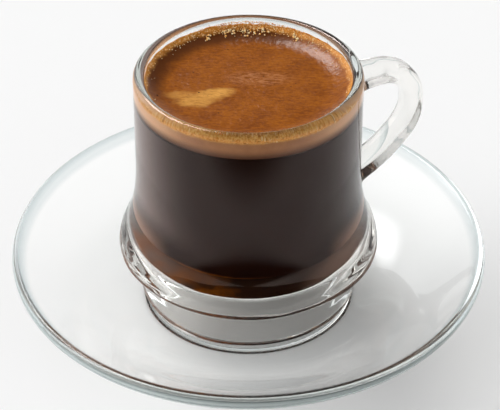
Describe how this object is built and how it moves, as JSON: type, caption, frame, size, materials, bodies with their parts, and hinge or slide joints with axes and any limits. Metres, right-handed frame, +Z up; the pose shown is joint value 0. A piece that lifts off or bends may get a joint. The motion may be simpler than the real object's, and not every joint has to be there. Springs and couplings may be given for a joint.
{
  "type": "turkish coffee in a glass cup with saucer",
  "caption": "Small glass cup of dark coffee with a golden foam layer, bell-shaped foot and side handle, standing on a round glass saucer",
  "frame": {"origin": "centre of the saucer's foot ring, on the surface that the saucer stands on", "axes": "+Z is up, out of the cup's mouth, and the cup's handle points along +X"},
  "size_m": [0.123, 0.123, 0.068],
  "materials": {
    "saucer_glass": "clear pressed glass, fire polished, faint green-grey at the rim",
    "cup_glass": "clear pressed glass, fire polished",
    "coffee": "opaque black-brown liquid",
    "foam": "fine golden-brown coffee foam with small bubbles and darker specks"
  },
  "bodies": {
    "root": {"saucer": "saucer_glass", "cup": "cup_glass", "coffee": "coffee", "foam": "foam"}
  },
  "joints": []
}
